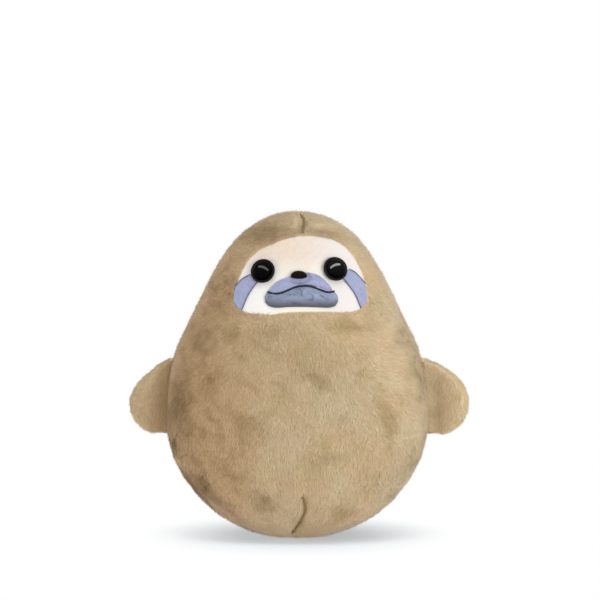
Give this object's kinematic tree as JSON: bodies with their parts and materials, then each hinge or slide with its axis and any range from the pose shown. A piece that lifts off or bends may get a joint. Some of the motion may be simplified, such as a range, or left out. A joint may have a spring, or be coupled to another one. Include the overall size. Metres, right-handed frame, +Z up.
{
  "type": "plush sloth",
  "caption": "Egg-shaped stuffed animal with a sewn face, glossy eyes, a padded muzzle and two short arms that flex about their sewn roots.",
  "frame": {"origin": "the middle of the object's box, on the surface that it stands on", "axes": "+Z up, -Y out of the face, +X towards the viewer's right"},
  "size_m": [0.3132, 0.1647, 0.3],
  "materials": {
    "plush": "matte",
    "cream_cloth": "matte",
    "blue_cloth": "matte",
    "slate_cloth": "matte",
    "navy_thread": "satin",
    "blue_thread": "satin",
    "brown_thread": "matte",
    "eye_black": "gloss",
    "rim_brown": "satin",
    "nose_brown": "satin",
    "washer_white": "satin",
    "fibre_fill": "matte",
    "pellets": "matte"
  },
  "bodies": {
    "body": {"body_front_panel": "plush", "body_back_panel_left": "plush", "body_back_panel_right": "plush", "body_stuffing": "fibre_fill", "pellet_bag": "pellets", "crown_dart_stitch": "brown_thread", "base_dart_stitch": "brown_thread", "closing_stitch": "brown_thread", "face_panel": "cream_cloth", "left_eye_patch": "blue_cloth", "right_eye_patch": "blue_cloth", "left_patch_upper_stitch": "blue_thread", "left_patch_lower_stitch": "blue_thread", "right_patch_upper_stitch": "blue_thread", "right_patch_lower_stitch": "blue_thread", "upper_lip": "blue_cloth", "lower_lip": "slate_cloth", "mouth_stitch": "navy_thread", "nose": "nose_brown", "nose_washer": "washer_white", "left_eye": "eye_black", "right_eye": "eye_black", "left_eye_rim": "rim_brown", "right_eye_rim": "rim_brown", "left_eye_washer": "washer_white", "right_eye_washer": "washer_white", "left_arm_seam": "brown_thread", "right_arm_seam": "brown_thread"},
    "left_arm": {"left_arm_front_panel": "plush", "left_arm_back_panel": "plush", "left_arm_stuffing": "fibre_fill"},
    "right_arm": {"right_arm_front_panel": "plush", "right_arm_back_panel": "plush", "right_arm_stuffing": "fibre_fill"}
  },
  "joints": [
    {"name": "left_arm_flex", "type": "hinge", "parent": "body", "child": "left_arm", "pos_m": [-0.12207, 0, 0.0948], "axis": [0.0927, 0, 0.9957], "range_deg": [-40, 45], "stiffness_Nm_per_rad": 0.01},
    {"name": "right_arm_flex", "type": "hinge", "parent": "body", "child": "right_arm", "pos_m": [0.12207, 0, 0.0948], "axis": [0.0927, 0, -0.9957], "range_deg": [-40, 45], "stiffness_Nm_per_rad": 0.01}
  ]
}
